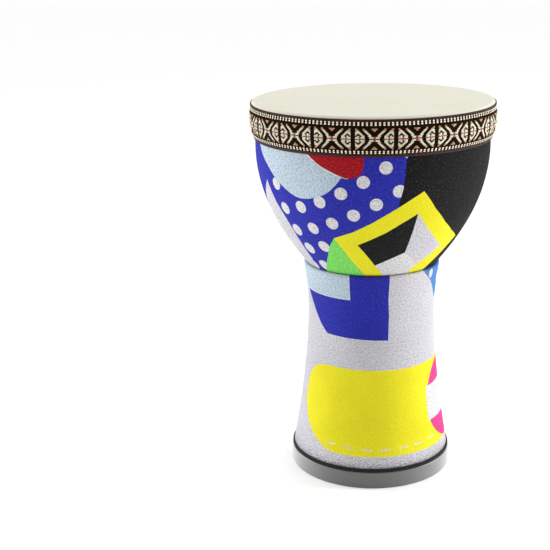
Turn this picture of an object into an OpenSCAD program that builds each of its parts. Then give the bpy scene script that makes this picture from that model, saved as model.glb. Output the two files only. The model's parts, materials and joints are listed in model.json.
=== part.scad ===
// Goblet hand drum: two moulded shells joined at the neck, a fixed head on a hoop,
// printed cloth glued over both shells, a woven ribbon round the rim and a rubber foot ring.
// The drum stands on its foot ring, with its axis on Z and its lowest face at Z = 0.

/* [Head] */
// Height of the playing surface above the floor
drum_height = 334.5; // [325:0.5:350]
// Diameter of the flat playing surface
head_d = 203.2; // [201:0.2:205]
// Outside radius of the skin where it turns down over the rim
shoulder_r = 3.5; // [3:0.1:4]
// Thickness of the drum skin
skin_t = 0.8; // [0.6:0.1:1]
// How far the skin's collar stands out from the covered bowl at its fullest
collar_bulge = 4.3; // [3.8:0.1:4.8]

/* [Ribbon] */
// Distance from the playing surface down to the ribbon's lower edge
ribbon_reach = 32.5; // [30:0.5:35]
// Distance from the playing surface down to the fullest part of the collar
belly_drop = 16.5; // [14:0.5:18]
// Thickness of the woven ribbon
ribbon_t = 0.9; // [0.6:0.1:1.2]
// How far the ribbon's top edge follows the skin's shoulder, in degrees
ribbon_wrap = 26; // [10:1:40]

/* [Bowl] */
// Largest diameter of the covered bowl, under the ribbon
bowl_d = 203.6; // [203:0.2:205]
// Height of the bowl's straight side, from the ribbon's edge down
bowl_straight = 6; // [2:1:12]
// Diameter of the covered bowl where it meets the stem
bowl_neck_d = 115.2; // [113:0.2:116]

/* [Stem] */
// Height of the neck joint above the floor
neck_z = 191; // [186:1:196]
// Height of the stem's narrowest place
waist_z = 152.5; // [145:0.5:158]
// Diameter of the covered stem at its narrowest place
waist_d = 113.5; // [110:0.5:117]
// Steepness of the flare from the waist down to the foot
foot_flare = 31.5; // [29:0.1:32]
// Length over which the lower flare develops
foot_reach = 130.6; // [128:0.1:136]
// Steepness of the flare from the waist up to the neck
neck_flare = 2.8; // [2.4:0.1:3.2]
// Length over which the upper flare develops
neck_reach = 18.1; // [17:0.1:20]
// Length of the bowl's spigot inside the stem
spigot_l = 20; // [14:1:26]

/* [Foot ring] */
// Outside diameter of the rubber foot ring
foot_d = 144.4; // [144:0.2:148]
// Height of the ring, lip included
foot_h = 18; // [17:0.5:20]
// Height of the ring's outer band, below the lip
foot_band = 14.9; // [12:0.1:16]
// How far the lip stands back from the band
lip_step = 0.5; // [0.2:0.1:0.8]
// Thickness of the ring's two walls
foot_wall = 2.5; // [2:0.1:3]
// Height of the ring's inner wall
foot_inner_h = 9; // [7:0.5:11]
// Thickness of the ring's floor, under the stem
foot_floor = 4; // [3:0.5:5]

/* [Walls] */
// Wall thickness of the moulded shells
shell_t = 3; // [2.6:0.1:3.4]
// Thickness of the printed cloth
cloth_t = 0.6; // [0.4:0.1:0.8]

/* [Hidden] */
$fn = 144;

steps = 20;                                    // straight pieces along each curved side
arc_steps = 6;                                 // straight pieces round the skin's shoulder
head_r = head_d / 2;
bowl_top_r = bowl_d / 2;
bowl_top_z = drum_height - ribbon_reach;       // top of the cloth that shows, at the ribbon's edge
curve_z = bowl_top_z - bowl_straight;          // the bowl curves in below this height
shoulder_z = drum_height - shoulder_r;
collar_top_r = head_r + shoulder_r;            // collar where the shoulder begins
belly_z = drum_height - belly_drop;
belly_r = bowl_top_r + collar_bulge;           // collar at its fullest
collar_tuck = 2;                               // the ribbon covers the collar's edge by this much
collar_z = bowl_top_z + collar_tuck;
hoop_gap = 2.5;                                // from the collar's edge up to the hoop
hoop_z = collar_z + hoop_gap;
cover_top_z = hoop_z - 0.5;                    // the bowl's cloth ends just under the hoop
shell_r = bowl_top_r - cloth_t;                // bowl shell's outside, above the curve
bearing_z = drum_height - skin_t;              // bearing edge that carries the skin
bearing_w = 1.9;                               // flat width of the bearing edge
bearing_slope = 5;                             // height of the slope inside the bearing edge
neck_blend = 5;                                // height over which the bowl meets its spigot
foot_r = foot_d / 2;
foot_chamfer = 0.8;
lip_r = foot_r - lip_step;
lip_round = 0.8;
land_r = foot_r - foot_wall;                   // outside of the stem where the ring grips it

// Covered bowl's outside radius at height z, along a parabola, and its slope
bowl_taper = (bowl_top_r - bowl_neck_d / 2) / pow(curve_z - neck_z, 2);
function bowl_r(z) = bowl_top_r - bowl_taper * pow(max(curve_z - z, 0), 2);
function bowl_slope(z) = 2 * bowl_taper * max(curve_z - z, 0);

// Radius of a surface that lies the given depth inside the covered bowl
function bowl_in(z, depth) = bowl_r(z) - depth * sqrt(1 + pow(bowl_slope(z), 2));

// Covered stem's outside radius at height z: two flares that meet at the waist
function flare(d, rise, reach) = rise * (sqrt(1 + pow(d / reach, 2)) - 1);
function flare_slope(d, rise, reach) = rise * d / (reach * reach * sqrt(1 + pow(d / reach, 2)));
function stem_rise(z) = z < waist_z ? foot_flare : neck_flare;
function stem_reach(z) = z < waist_z ? foot_reach : neck_reach;
function stem_r(z) = waist_d / 2 + flare(z - waist_z, stem_rise(z), stem_reach(z));
function stem_slope(z) = flare_slope(z - waist_z, stem_rise(z), stem_reach(z));
function stem_in(z, depth) = stem_r(z) - depth * sqrt(1 + pow(stem_slope(z), 2));

// Outside radius of the skin's collar: full at the belly, drawn in above and below it
function collar_drop(z) = z > belly_z
    ? (belly_r - collar_top_r) * pow((z - belly_z) / (shoulder_z - belly_z), 2)
    : (belly_r - bowl_top_r) * pow((belly_z - z) / (belly_z - bowl_top_z), 2);
function collar_r(z) = belly_r - collar_drop(z);

// Heights from a to b in n equal steps
function heights(a, b, n) = [for (i = [0 : n]) a + (b - a) * i / n];

// Point on the skin's shoulder, r from its centre and a degrees above the horizontal
function shoulder(r, a) = [head_r + r * cos(a), shoulder_z + r * sin(a)];
function shoulder_arc(r, a, b) = [
    for (i = [0 : arc_steps]) shoulder(r, a + (b - a) * i / arc_steps)
];

// Side of the bowl or the stem as points, at the given depth
function bowl_side(a, b, depth) = [for (z = heights(a, b, steps)) [bowl_in(z, depth), z]];
function stem_side(a, b, depth) = [for (z = heights(a, b, steps)) [stem_in(z, depth), z]];

// Collar as points, moved out by grow
function collar_side(a, b, grow) = [for (z = heights(a, b, steps / 2)) [collar_r(z) + grow, z]];

module turned(points) {
    rotate_extrude() polygon(points);
}

// Moulded bowl: curved side, straight rim with a bearing edge, and a spigot for the stem
module bowl_shell() {
    wall = cloth_t + shell_t;
    spigot_z = neck_z - spigot_l;
    spigot_out = [for (z = heights(spigot_z, neck_z, 4)) [stem_in(z, wall), z]];
    spigot_in = [for (z = heights(neck_z - neck_blend, spigot_z, 4)) [stem_in(z, wall) - shell_t, z]];
    color("dimgray")
        turned(concat(
            spigot_out,
            bowl_side(neck_z, bowl_top_z, cloth_t),
            [
                [shell_r, bearing_z],
                [shell_r - bearing_w, bearing_z],
                [shell_r - shell_t, bearing_z - bearing_slope]
            ],
            bowl_side(bowl_top_z, neck_z + neck_blend, wall),
            spigot_in
        ));
}

// Moulded stem: a waisted tube whose top is the socket and whose foot fits the rubber ring
module stem_shell() {
    wall = cloth_t + shell_t;
    color("dimgray")
        turned(concat(
            [[land_r - shell_t, foot_floor], [land_r, foot_floor], [land_r, foot_h]],
            stem_side(foot_h, neck_z, cloth_t),
            stem_side(neck_z, foot_h, wall)
        ));
}

// Hoop round the rim, which gives the collar its full shape
module head_hoop() {
    inner_round = shoulder_r - skin_t;
    start = acos((shell_r - head_r) / inner_round);
    color("burlywood")
        turned(concat(
            [[shell_r, hoop_z]],
            collar_side(hoop_z, shoulder_z, -skin_t),
            shoulder_arc(inner_round, 0, start)
        ));
}

// Drum skin: flat playing surface, rounded shoulder, and a collar glued over the hoop
module drum_skin() {
    color("beige")
        turned(concat(
            [[0, bearing_z]],
            shoulder_arc(shoulder_r - skin_t, 90, 0),
            collar_side(shoulder_z, collar_z, -skin_t),
            collar_side(collar_z, shoulder_z, 0),
            shoulder_arc(shoulder_r, 0, 90),
            [[0, drum_height]]
        ));
}

// Woven ribbon glued over the collar, from the shoulder down to the bowl's cloth
module rim_ribbon() {
    color("maroon")
        turned(concat(
            collar_side(bowl_top_z, shoulder_z, ribbon_t),
            shoulder_arc(shoulder_r + ribbon_t, 0, ribbon_wrap),
            shoulder_arc(shoulder_r, ribbon_wrap, 0),
            collar_side(shoulder_z, bowl_top_z, 0)
        ));
}

// Printed cloth over the bowl, from the neck up under the ribbon
module bowl_cover() {
    color("mediumblue")
        turned(concat(
            bowl_side(neck_z, bowl_top_z, 0),
            [[bowl_top_r, cover_top_z], [shell_r, cover_top_z]],
            bowl_side(bowl_top_z, neck_z, cloth_t)
        ));
}

// Printed cloth over the stem, from the foot ring up to the neck
module stem_cover() {
    color("gainsboro")
        turned(concat(
            stem_side(foot_h, neck_z, 0),
            stem_side(neck_z, foot_h, cloth_t)
        ));
}

// Rubber foot ring: a channel that grips the stem's lower edge and stands on the floor
module foot_ring() {
    inner_r = land_r - shell_t;
    color("darkslategray")
        turned([
            [inner_r - foot_wall + foot_chamfer, 0],
            [foot_r - foot_chamfer, 0],
            [foot_r, foot_chamfer],
            [foot_r, foot_band - lip_step],
            [lip_r, foot_band],
            [lip_r, foot_h - lip_round],
            [lip_r - lip_round, foot_h],
            [land_r, foot_h],
            [land_r, foot_floor],
            [inner_r, foot_floor],
            [inner_r, foot_inner_h],
            [inner_r - foot_wall, foot_inner_h],
            [inner_r - foot_wall, foot_chamfer]
        ]);
}

bowl_shell();
stem_shell();
head_hoop();
drum_skin();
rim_ribbon();
bowl_cover();
stem_cover();
foot_ring();
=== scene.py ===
"""Looks for a goblet hand drum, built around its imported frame: cloth, ribbon, head, shells and foot ring.

Lengths are in metres. Angles round the drum are in degrees from the front (-Y), positive towards +X.
"""

import json
import math

import bpy
from mathutils import Matrix, Vector, noise
from mathutils.geometry import delaunay_2d_cdt

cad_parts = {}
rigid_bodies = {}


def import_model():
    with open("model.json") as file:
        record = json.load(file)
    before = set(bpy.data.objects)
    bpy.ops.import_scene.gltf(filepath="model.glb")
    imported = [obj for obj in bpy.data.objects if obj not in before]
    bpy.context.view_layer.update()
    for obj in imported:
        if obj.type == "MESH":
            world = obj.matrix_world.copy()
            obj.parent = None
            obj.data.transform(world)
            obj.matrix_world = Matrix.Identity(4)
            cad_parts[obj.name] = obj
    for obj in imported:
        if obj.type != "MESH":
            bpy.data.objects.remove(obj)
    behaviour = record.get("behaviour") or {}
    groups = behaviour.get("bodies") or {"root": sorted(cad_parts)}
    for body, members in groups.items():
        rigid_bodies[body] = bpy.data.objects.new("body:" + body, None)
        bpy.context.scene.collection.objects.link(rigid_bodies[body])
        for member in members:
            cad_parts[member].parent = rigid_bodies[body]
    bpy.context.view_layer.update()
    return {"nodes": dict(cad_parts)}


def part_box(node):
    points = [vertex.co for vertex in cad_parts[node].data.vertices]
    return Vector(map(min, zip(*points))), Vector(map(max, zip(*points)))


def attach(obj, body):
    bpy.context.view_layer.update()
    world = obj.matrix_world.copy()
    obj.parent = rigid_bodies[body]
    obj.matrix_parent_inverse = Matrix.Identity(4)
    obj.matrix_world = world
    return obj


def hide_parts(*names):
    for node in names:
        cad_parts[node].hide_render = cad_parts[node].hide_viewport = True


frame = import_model()

bl_info = {
    "name": "Goblet Drum",
    "version": (1, 0, 0),
    "blender": (4, 5, 0),
    "location": "View3D > Sidebar > Drum",
    "description": "Makes a goblet drum's head, ribbon, printed covers, shells and foot ring",
    "category": "Object",
}

MM = 0.001
BODY = "root"
RIBBON_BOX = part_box("rim_ribbon")
SKIN_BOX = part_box("drum_skin")
BOWL_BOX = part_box("bowl_cover")
STEM_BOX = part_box("stem_cover")
SHELL_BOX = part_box("bowl_shell")
FOOT_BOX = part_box("foot_ring")
SEAM_ANGLE = 180.0  # the covers and the ribbon close at the back
WAVE_TURN = 3.2  # a wave texture of scale 1 / (pitch * WAVE_TURN) repeats once a pitch
TURN_STEPS = 160  # faces round a turned piece

# The bowl's bearing edge, and the height over which the bowl meets its spigot
BEARING_W, BEARING_SLOPE, NECK_BLEND = 1.9 * MM, 5 * MM, 5 * MM
# The rubber ring's walls and floor, the heights of its outer band and inner wall, and its lip's step
FOOT_WALL, FOOT_FLOOR, FOOT_BAND, FOOT_INNER_H, LIP_STEP = 2.5 * MM, 4 * MM, 14.9 * MM, 9 * MM, 0.5 * MM
BOWL_ROUND, EDGE_ROUND = 0.7 * MM, 0.8 * MM  # rounding of the moulded edges


# ---------------------------------------------------------------- sizes and colours

def number_prop(name, description, default, unit="NONE"):
    return bpy.props.FloatProperty(
        name=name, description=description, default=default, unit=unit, precision=5)


def length_prop(name, description, default):
    return number_prop(name, description, default, "LENGTH")


def colour_prop(name, description, default):
    return bpy.props.FloatVectorProperty(
        name=name, description=description, default=default, subtype="COLOR", size=3, min=0, max=1)


class DrumSizes(bpy.types.PropertyGroup):
    """Sizes of the turned body and of its soft coverings"""
    bowl_r: length_prop("Bowl radius", "Widest radius of the covered bowl", 101.8 * MM)
    bowl_straight: length_prop("Bowl's straight side", "Height of the straight side under the ribbon", 6 * MM)
    bowl_neck_r: length_prop("Bowl's neck radius", "Radius of the covered bowl at the stem", 57.6 * MM)
    neck_z: length_prop("Neck height", "Height of the joint of bowl and stem", BOWL_BOX[0].z)
    waist_z: length_prop("Waist height", "Height of the stem's narrowest place", 152.5 * MM)
    waist_r: length_prop("Waist radius", "Radius of the covered stem at its waist", 56.75 * MM)
    foot_flare: length_prop("Foot flare", "Steepness of the flare to the foot", 31.5 * MM)
    foot_reach: length_prop("Foot reach", "Length of the flare to the foot", 130.6 * MM)
    neck_flare: length_prop("Neck flare", "Steepness of the flare to the neck", 2.8 * MM)
    neck_reach: length_prop("Neck reach", "Length of the flare to the neck", 18.1 * MM)
    head_r: length_prop("Head radius", "Radius of the flat playing surface", 101.6 * MM)
    shoulder_r: length_prop("Shoulder", "Radius of the skin over the rim", 3.5 * MM)
    skin_t: length_prop("Skin", "Thickness of the drum skin", 0.8 * MM)
    belly_r: length_prop("Collar radius", "Radius of the skin's collar at its fullest", 106.1 * MM)
    belly_drop: length_prop("Collar belly", "From the head down to the fullest collar", 16.5 * MM)
    ribbon_base_t: length_prop("Ribbon ground", "Thickness of the ribbon's ground weave", 0.5 * MM)
    yarn_rise: length_prop("Yarn rise", "How far pattern yarns stand above the ground", 0.38 * MM)
    cloth_t: length_prop("Cloth", "Thickness of the printed cloth", 0.6 * MM)
    shell_t: length_prop("Shell wall", "Thickness of the moulded shells", 3.0 * MM)
    weave_pitch: length_prop("Weave pitch", "Distance between the cloth's threads", 0.62 * MM)


class DrumInks(bpy.types.PropertyGroup):
    """Colours of the print on the cloth"""
    blue: colour_prop("Blue", "Royal blue ink", (0.030, 0.036, 0.52))
    pale: colour_prop("Pale blue", "Pale blue ink", (0.66, 0.80, 0.92))
    red: colour_prop("Red", "Red ink", (0.50, 0.008, 0.015))
    green: colour_prop("Green", "Green ink", (0.28, 0.97, 0.16))
    yellow: colour_prop("Yellow", "Yellow ink", (0.76, 0.69, 0.017))
    black: colour_prop("Black", "Black ink", (0.006, 0.006, 0.007))
    lilac: colour_prop("Lilac grey", "Lilac grey ink of the stem's ground", (0.80, 0.785, 0.84))
    white: colour_prop("White", "Bare white cloth", (0.93, 0.92, 0.94))
    pink: colour_prop("Pink", "Pink ink", (0.95, 0.07, 0.34))
    sky: colour_prop("Sky blue", "Sky blue ink", (0.10, 0.30, 0.72))
    thick_film: bpy.props.FloatProperty(
        name="Thick ink", description="How much of the weave shows through the yellow ink", default=0.3,
        min=0, max=1, subtype="FACTOR")


class DrumFinishes(bpy.types.PropertyGroup):
    """Colours of everything that isn't printed cloth"""
    skin: colour_prop("Skin", "Cream drum skin", (0.575, 0.568, 0.475))
    ground: colour_prop("Ribbon ground", "Dark ground weave of the ribbon", (0.009, 0.004, 0.0012))
    cream: colour_prop("Cream yarn", "Main pattern yarn of the ribbon", (0.98, 0.91, 0.70))
    tan: colour_prop("Tan yarn", "Filling yarn of the ribbon", (0.66, 0.34, 0.19))
    plum: colour_prop("Plum yarn", "Centre yarn of the ribbon", (0.36, 0.06, 0.11))
    maroon: colour_prop("Maroon yarn", "Edge yarn of the ribbon", (0.050, 0.001, 0.004))
    rubber: colour_prop("Rubber", "Outer band of the foot ring", (0.034, 0.034, 0.034))
    lip: colour_prop("Rubber lip", "Lip of the foot ring", (0.008, 0.008, 0.009))
    shell: colour_prop("Shell", "Moulded plastic of the two shells", (0.018, 0.018, 0.020))
    ply: colour_prop("Ply", "Bent wooden hoop under the skin", (0.50, 0.33, 0.17))
    floor: colour_prop("Floor", "Plain pale floor", (0.95, 0.95, 0.95))


class DrumStage(bpy.types.PropertyGroup):
    """Light, floor and camera"""
    floor_size: length_prop("Floor", "Width of the floor", 60.0)
    front_light: number_prop("Front light", "Light from the front", 0.56)
    back_light: number_prop("Back light", "Light from the back", 1.2)
    left_light: number_prop("Left light", "Power of the softbox at the left", 12.5, "POWER")
    right_light: number_prop("Right light", "Power of the softbox at the right", 17, "POWER")
    top_light: number_prop("Top light", "Power of the softbox above", 3, "POWER")
    lens: number_prop("Lens", "Focal length in millimetres", 78.67)
    camera_place: bpy.props.FloatVectorProperty(
        name="Camera", description="Where the camera stands", default=(0, -1.0412, 0.4813),
        subtype="TRANSLATION", unit="LENGTH", size=3, precision=4)
    camera_yaw: number_prop("Turn", "Camera's turn to its left", 0.0832, "ROTATION")
    camera_tilt: number_prop("Tilt", "Camera's tilt below the horizon", 0.2853, "ROTATION")
    camera_roll: number_prop("Roll", "Camera's roll", -0.0164, "ROTATION")


# ---------------------------------------------------------------- shape of the drum

def sizes():
    return bpy.context.scene.drum_sizes


def bowl_z():
    """Height of the ribbon's lower edge, where the bowl's visible cloth begins."""
    return RIBBON_BOX[0].z


def bowl_radius(z):
    s = sizes()
    curve_z = bowl_z() - s.bowl_straight
    return s.bowl_r - (s.bowl_r - s.bowl_neck_r) * (max(curve_z - z, 0) / (curve_z - s.neck_z)) ** 2


def stem_radius(z):
    s = sizes()
    rise, reach = (s.foot_flare, s.foot_reach) if z < s.waist_z else (s.neck_flare, s.neck_reach)
    return s.waist_r + rise * (math.hypot(1, (z - s.waist_z) / reach) - 1)


def inset(radius, z, depth):
    """Radius of the surface that lies depth inside the one that radius(z) gives."""
    step = 0.1 * MM
    slope = (radius(z + step) - radius(z - step)) / (2 * step)
    return radius(z) - depth * math.hypot(1, slope)


def head_z():
    return SKIN_BOX[1].z


def shoulder_z():
    return head_z() - sizes().shoulder_r


def collar_radius(z):
    """Outside radius of the skin's collar: full at the belly, drawn in above and below."""
    s = sizes()
    belly_z = head_z() - s.belly_drop
    if z > belly_z:
        return s.belly_r - (s.belly_r - s.head_r - s.shoulder_r) * (
            (z - belly_z) / (shoulder_z() - belly_z)) ** 2
    return s.belly_r - (s.belly_r - s.bowl_r) * ((belly_z - z) / (belly_z - bowl_z())) ** 2


def spaced(a, b, n):
    return [a + (b - a) * i / n for i in range(n + 1)]


def side(radius, a, b, depth, n=24):
    """Points (r, z) along a turned side, from height a to b, at a depth inside it."""
    return [(inset(radius, z, depth), z) for z in spaced(a, b, n)]


def shoulder_arc(r, a, b):
    """Points (r, z) round the skin's shoulder, from a to b degrees above the horizontal."""
    arc_steps = 8
    turns = [math.radians(t) for t in spaced(a, b, arc_steps)]
    return [(sizes().head_r + r * math.cos(t), shoulder_z() + r * math.sin(t)) for t in turns]


def around(r, z, degrees):
    """The point at radius r and height z, turned from the front (-Y) towards +X."""
    a = math.radians(degrees)
    return Vector((r * math.sin(a), -r * math.cos(a), z))


def rounded(points, radius):
    """A closed (r, z) outline whose marked corners are rounded. A corner is marked by a third item."""
    corner_steps = 3
    share = 0.45  # of an edge, at most, for each of its corners
    out = []
    for i, p in enumerate(points):
        if len(p) == 2:
            out.append(p)
            continue
        here = Vector(p[:2])
        to_last = Vector(points[i - 1][:2]) - here
        to_next = Vector(points[(i + 1) % len(points)][:2]) - here
        cut = min(radius, to_last.length * share, to_next.length * share)
        start = here + to_last.normalized() * cut
        end = here + to_next.normalized() * cut
        for t in spaced(0, 1, corner_steps):
            out.append(tuple(start * (1 - t) ** 2 + here * 2 * t * (1 - t) + end * t * t))
    return out


# ---------------------------------------------------------------- objects

def add_object(name, mesh, material):
    obj = bpy.data.objects.new(name, mesh)
    bpy.context.scene.collection.objects.link(obj)
    mesh.materials.append(material)
    return obj


def settle(obj, slot, *nodes):
    """Gives a finished piece its body and hides the CAD nodes it stands for; the slot is not used."""
    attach(obj, BODY)
    if nodes:
        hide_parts(*nodes)
    return obj


def thicken(sheet, label, thickness):
    """Gives a sheet its thickness, inwards from its outer face."""
    wall = sheet.modifiers.new(label, "SOLIDIFY")
    wall.thickness = thickness
    wall.offset = -1


def painted_mesh(name, points, faces, layer, colours, lie):
    """A smooth mesh with a colour for each face in a named layer, and each point's flat place as its UV."""
    mesh = bpy.data.meshes.new(name)
    mesh.from_pydata(points, [], faces)
    paint = mesh.color_attributes.new(layer, "FLOAT_COLOR", "CORNER")
    flat = mesh.uv_layers.new(name="cloth")
    for face, colour in zip(mesh.polygons, colours):
        for loop in face.loop_indices:
            paint.data[loop].color = colour
            flat.data[loop].uv = lie[mesh.loops[loop].vertex_index]
    mesh.polygons.foreach_set("use_smooth", [True] * len(mesh.polygons))
    return mesh


def turned(name, outline, material, closed=True):
    """A turned piece: the outline (r, z), taken so that its outer side runs from top to bottom."""
    mesh = bpy.data.meshes.new(name)
    n = len(outline)
    links = [(i, (i + 1) % n) for i in range(n if closed else n - 1)]
    mesh.from_pydata([(r, 0, z) for r, z in outline], links, [])
    obj = add_object(name, mesh, material)
    screw = obj.modifiers.new("Turn", "SCREW")
    screw.steps = TURN_STEPS
    screw.render_steps = TURN_STEPS
    screw.use_merge_vertices = True
    screw.merge_threshold = 0.01 * MM
    screw.use_smooth_shade = True
    even = obj.modifiers.new("Even shading", "WEIGHTED_NORMAL")
    even.weight = 80
    even.keep_sharp = True
    return obj


# ---------------------------------------------------------------- materials

def new_material(name):
    """An empty material, with its nodes and its links."""
    material = bpy.data.materials.new(name)
    material.use_nodes = True
    material.node_tree.nodes.clear()
    return material, material.node_tree.nodes, material.node_tree.links


def set_out(nodes, links):
    """Places the nodes in columns from left to right along their links, each frame in rows of its own."""
    column_w, row_h = 280, 340
    column = dict.fromkeys(nodes.keys(), 0)
    for _ in nodes:
        for link in links:
            column[link.from_node.name] = max(column[link.from_node.name], column[link.to_node.name] + 1)
    top = row_h
    for frame_node in (None, *[node for node in nodes if node.type == "FRAME"]):
        filled = {}
        for node in nodes:
            if node.type != "FRAME" and node.parent == frame_node:
                row = filled.setdefault(column[node.name], 0)
                filled[column[node.name]] += 1
                node.location = (-column_w * column[node.name], top - row_h * row)
        top -= row_h * max(filled.values(), default=0)


def printed_canvas(name, pitch, dark_edge_z, dark_edge_h):
    """Plain-woven canvas, printed: the ink comes from the mesh, the threads from its UV map in metres. Shade
    in the hollows between threads is painted into the colour, and the colour is darker towards the lower
    edge.
    """
    material, nodes, links = new_material(name)

    ink = nodes.new("ShaderNodeAttribute")
    ink.label = "Printed ink"
    ink.attribute_name = "ink"

    cloth_map = nodes.new("ShaderNodeUVMap")
    cloth_map.label = "Lie of the cloth"
    cloth_map.uv_map = "cloth"

    threads = []
    for label, direction in (("Warp threads", "X"), ("Weft threads", "Y")):
        thread = nodes.new("ShaderNodeTexWave")
        thread.label = label
        thread.wave_type = "BANDS"
        thread.bands_direction = direction
        thread.wave_profile = "SIN"
        thread.inputs["Scale"].default_value = 1 / (pitch * WAVE_TURN)
        thread.inputs["Distortion"].default_value = 0.6
        thread.inputs["Detail"].default_value = 1.0
        thread.inputs["Detail Scale"].default_value = 1.6
        links.new(cloth_map.outputs["UV"], thread.inputs["Vector"])
        threads.append(thread)
    warp, weft = threads

    noises = []
    for label, size, detail, roughness in (
        ("Short nap of the cotton", 1.5 * MM, 3.0, 0.7),
        ("Fibres that took less dye", 1.5 * MM, 4.0, 0.7),
        ("Uneven take-up of dye", 38 * MM, 2.0, 0.5),
        ("Speckle near the lower edge", 1.3 * MM, 2.0, 0.8),
    ):
        fibres = nodes.new("ShaderNodeTexNoise")
        fibres.label = label
        fibres.noise_dimensions = "2D"
        fibres.inputs["Scale"].default_value = 1 / size
        fibres.inputs["Detail"].default_value = detail
        fibres.inputs["Roughness"].default_value = roughness
        links.new(cloth_map.outputs["UV"], fibres.inputs["Vector"])
        noises.append(fibres)
    nap, fleck_noise, dye_noise, lower_edge_speckle = noises

    ranges = []
    for label, fibres, limits in (
        ("Light flecks only", fleck_noise, {"From Min": 0.60, "From Max": 0.80, "To Max": 0.16}),
        ("Depth of the dye", dye_noise, {"To Min": 0.90, "To Max": 1.08}),
        # Painted shade: the hollows between threads are darkened in the colour itself
        ("Painted shade in the hollows between threads", nap,
         {"From Min": 0.34, "From Max": 0.58, "To Min": -0.36, "To Max": 0.05}),
    ):
        graded = nodes.new("ShaderNodeMapRange")
        graded.label = label
        for socket, value in limits.items():
            graded.inputs[socket].default_value = value
        links.new(fibres.outputs["Fac"], graded.inputs["Value"])
        ranges.append(graded)
    flecks, dye, painted_hollow_shade = ranges

    crossing = nodes.new("ShaderNodeMath")
    crossing.label = "Threads cross over and under"
    crossing.operation = "MULTIPLY"
    links.new(warp.outputs["Fac"], crossing.inputs[0])
    links.new(weft.outputs["Fac"], crossing.inputs[1])

    relief = nodes.new("ShaderNodeMath")
    relief.label = "Nap over threads"
    relief.operation = "MULTIPLY_ADD"
    relief.inputs[1].default_value = 4.0
    links.new(nap.outputs["Fac"], relief.inputs[0])
    links.new(crossing.outputs["Value"], relief.inputs[2])

    filled = nodes.new("ShaderNodeMath")
    filled.label = "A thick ink fills the weave"
    filled.operation = "MULTIPLY"
    links.new(relief.outputs["Value"], filled.inputs[0])
    links.new(ink.outputs["Alpha"], filled.inputs[1])

    bump = nodes.new("ShaderNodeBump")
    bump.label = "Relief of the canvas"
    bump.inputs["Strength"].default_value = 1.0
    bump.inputs["Distance"].default_value = 0.45 * MM
    links.new(filled.outputs["Value"], bump.inputs["Height"])

    worn = nodes.new("ShaderNodeMix")
    worn.label = "Undyed fibre shows through the ink"
    worn.data_type = "RGBA"
    worn.inputs["B"].default_value = (0.62, 0.60, 0.66, 1)
    links.new(flecks.outputs["Result"], worn.inputs["Factor"])
    links.new(ink.outputs["Color"], worn.inputs["A"])

    # Painted shade in the hollows, weaker under a thick ink
    painted_shade_under_film = nodes.new("ShaderNodeMath")
    painted_shade_under_film.label = "Less painted shade under a thick ink"
    painted_shade_under_film.operation = "MULTIPLY_ADD"
    painted_shade_under_film.inputs[2].default_value = 1.0
    links.new(painted_hollow_shade.outputs["Result"], painted_shade_under_film.inputs[0])
    links.new(ink.outputs["Alpha"], painted_shade_under_film.inputs[1])

    # Dye tone times the painted hollow shade
    depth = nodes.new("ShaderNodeMath")
    depth.label = "Dye tone and painted hollow shade together"
    depth.operation = "MULTIPLY"
    links.new(dye.outputs["Result"], depth.inputs[0])
    links.new(painted_shade_under_film.outputs["Value"], depth.inputs[1])

    cloth_colour = nodes.new("ShaderNodeVectorMath")
    cloth_colour.label = "Ink with painted hollow shade on this cloth"
    cloth_colour.operation = "SCALE"
    links.new(worn.outputs["Result"], cloth_colour.inputs["Vector"])
    links.new(depth.outputs["Value"], cloth_colour.inputs["Scale"])

    # Darker towards the cloth's lower edge: a ramp from the edge plus speckle mixes a near-black colour into
    # the ink
    height = nodes.new("ShaderNodeSeparateXYZ")
    height.label = "Height on the cloth"
    links.new(cloth_map.outputs["UV"], height.inputs["Vector"])

    lower_edge_ramp = nodes.new("ShaderNodeMapRange")
    lower_edge_ramp.label = "Rises towards the cloth's lower edge"
    lower_edge_ramp.inputs["From Min"].default_value = dark_edge_z
    lower_edge_ramp.inputs["From Max"].default_value = dark_edge_z + dark_edge_h
    lower_edge_ramp.inputs["To Min"].default_value = 0.17
    lower_edge_ramp.inputs["To Max"].default_value = -0.25
    links.new(height.outputs["Y"], lower_edge_ramp.inputs["Value"])

    ramp_plus_speckle = nodes.new("ShaderNodeMath")
    ramp_plus_speckle.label = "Speckle grows towards the lower edge"
    ramp_plus_speckle.operation = "ADD"
    links.new(lower_edge_ramp.outputs["Result"], ramp_plus_speckle.inputs[0])
    links.new(lower_edge_speckle.outputs["Fac"], ramp_plus_speckle.inputs[1])

    lower_edge_dark_share = nodes.new("ShaderNodeMapRange")
    lower_edge_dark_share.label = "Share of near-black towards the lower edge"
    lower_edge_dark_share.inputs["From Min"].default_value = 0.52
    lower_edge_dark_share.inputs["From Max"].default_value = 0.80
    lower_edge_dark_share.inputs["To Max"].default_value = 0.68
    links.new(ramp_plus_speckle.outputs["Value"], lower_edge_dark_share.inputs["Value"])

    covered = nodes.new("ShaderNodeMix")
    covered.label = "Colour darker towards the lower edge"
    covered.data_type = "RGBA"
    covered.inputs["B"].default_value = (0.012, 0.012, 0.014, 1)
    links.new(lower_edge_dark_share.outputs["Result"], covered.inputs["Factor"])
    links.new(cloth_colour.outputs["Vector"], covered.inputs["A"])

    shader = nodes.new("ShaderNodeBsdfPrincipled")
    shader.label = "Cotton canvas"
    shader.inputs["Roughness"].default_value = 0.92
    shader.inputs["Specular IOR Level"].default_value = 0.10
    shader.inputs["Sheen Weight"].default_value = 0.05
    shader.inputs["Sheen Roughness"].default_value = 0.4
    links.new(covered.outputs["Result"], shader.inputs["Base Color"])
    links.new(bump.outputs["Normal"], shader.inputs["Normal"])

    out = nodes.new("ShaderNodeOutputMaterial")
    out.label = "Cloth"
    links.new(shader.outputs["BSDF"], out.inputs["Surface"])

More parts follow.
